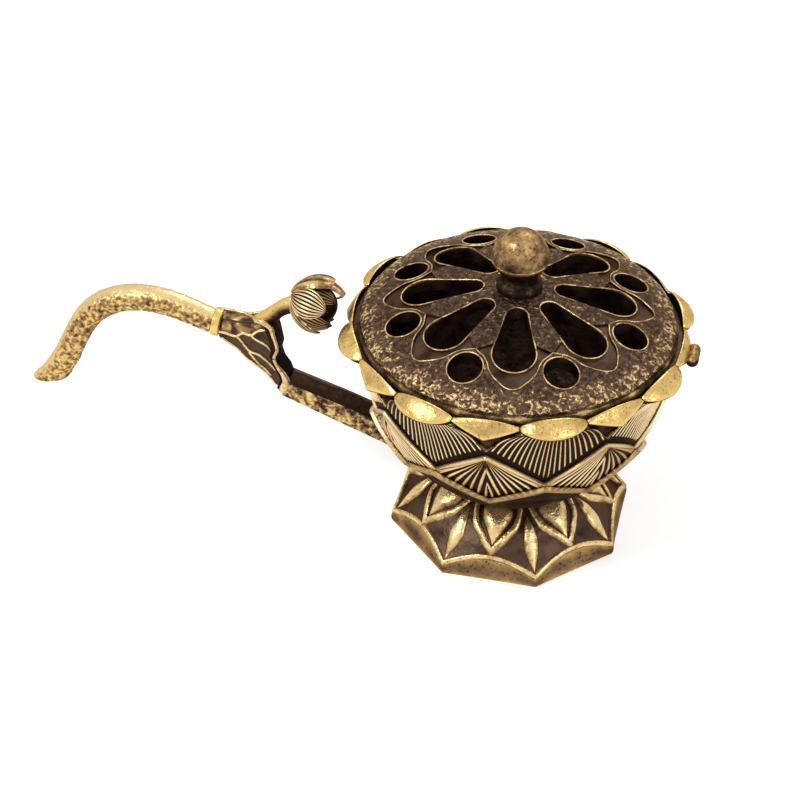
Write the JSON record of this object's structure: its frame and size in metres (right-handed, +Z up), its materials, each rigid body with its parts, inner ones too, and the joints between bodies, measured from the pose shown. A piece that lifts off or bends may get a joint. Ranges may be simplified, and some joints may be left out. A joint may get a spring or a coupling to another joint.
{
  "type": "hand censer",
  "caption": "Small antique-brass lotus censer with a pierced dome lid, star foot and curved side handle, for burning incense cones.",
  "frame": {"origin": "centre of the foot's flat underside, on the bowl's axis", "axes": "+Z up along the bowl's axis, -X along the handle, so +X is the side away from it; the handle's plane is Y = 0"},
  "size_m": [0.0978, 0.0486, 0.0485],
  "materials": {
    "aged_brass": "antique brass, dark purple-brown patina in the recesses with rubbed golden high points",
    "warm_brass": "antique brass rubbed to gold, brown patina in the texture",
    "plain_brass": "plain turned brass, satin"
  },
  "bodies": {
    "censer": {"foot": "aged_brass", "foot_washer": "plain_brass", "foot_screw": "plain_brass", "bowl": "aged_brass", "handle_bar": "warm_brass", "leaf_bracket": "warm_brass", "handle_collar": "warm_brass", "grip": "warm_brass", "lotus_bud": "warm_brass"},
    "lid": {"lid": "aged_brass", "lid_knob": "warm_brass", "knob_washer": "plain_brass", "knob_nut": "plain_brass"}
  },
  "joints": [
    {"name": "lid_lift", "type": "slide", "parent": "censer", "child": "lid", "axis": [0, 0, 1], "range_m": [0, 0.03]}
  ]
}
